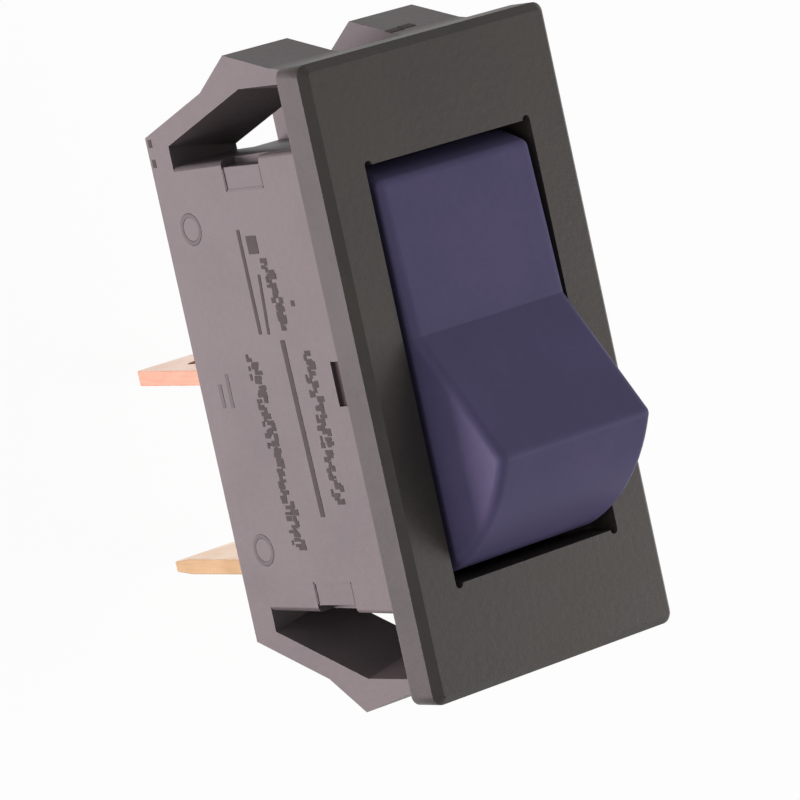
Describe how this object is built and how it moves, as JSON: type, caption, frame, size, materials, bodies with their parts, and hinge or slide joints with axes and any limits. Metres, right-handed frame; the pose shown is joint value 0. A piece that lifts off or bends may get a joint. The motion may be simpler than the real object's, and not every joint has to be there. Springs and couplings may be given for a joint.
{
  "type": "rocker switch",
  "caption": "Panel-mount rocker switch with a flat rectangular bezel, V-shaped rocker, snap arms and two quick-connect blades, with its contact mechanism inside.",
  "frame": {"origin": "centre of the bezel's underside, in the plane that meets the panel", "axes": "+Z out of the panel towards the user, +Y along the bezel, away from the off-centre blade, X across the bezel"},
  "size_m": [0.0154, 0.0326, 0.0318],
  "materials": {
    "housing": "fine moulded texture, black nylon",
    "base": "black nylon",
    "common_terminal": "stamped brass",
    "load_terminal": "stamped brass",
    "fixed_contact": "silver alloy",
    "rocker": "semi-matte dark violet blue",
    "plunger": "natural acetal",
    "plunger_spring": "drawn wire",
    "contact_bar": "stamped copper alloy",
    "moving_contact": "silver alloy"
  },
  "bodies": {
    "body": {"housing": "housing", "base": "base", "common_terminal": "common_terminal", "load_terminal": "load_terminal", "fixed_contact": "fixed_contact"},
    "rocker": {"rocker": "rocker", "plunger_spring": "plunger_spring"},
    "plunger": {"plunger": "plunger"},
    "contact_bar": {"contact_bar": "contact_bar", "moving_contact": "moving_contact"}
  },
  "joints": [
    {"name": "rocker_tilt", "type": "hinge", "parent": "body", "child": "rocker", "pos_m": [0, 0, -0.0024], "axis": [1, 0, 0], "range_deg": [0, 39]},
    {"name": "bar_tilt", "type": "hinge", "parent": "body", "child": "contact_bar", "pos_m": [0, 0, -0.00932], "axis": [1, 0, 0], "range_deg": [-16, 0]},
    {"name": "plunger_slide", "type": "slide", "parent": "rocker", "child": "plunger", "axis": [0, 0.3338, 0.9426], "range_m": [0, 0.0008], "stiffness_N_per_m": 400, "springref_m": -0.001, "deforming": ["plunger_spring"]}
  ],
  "couplings": [
    {"joint": "bar_tilt", "follows": "rocker_tilt", "ratio": -0.41026}
  ]
}
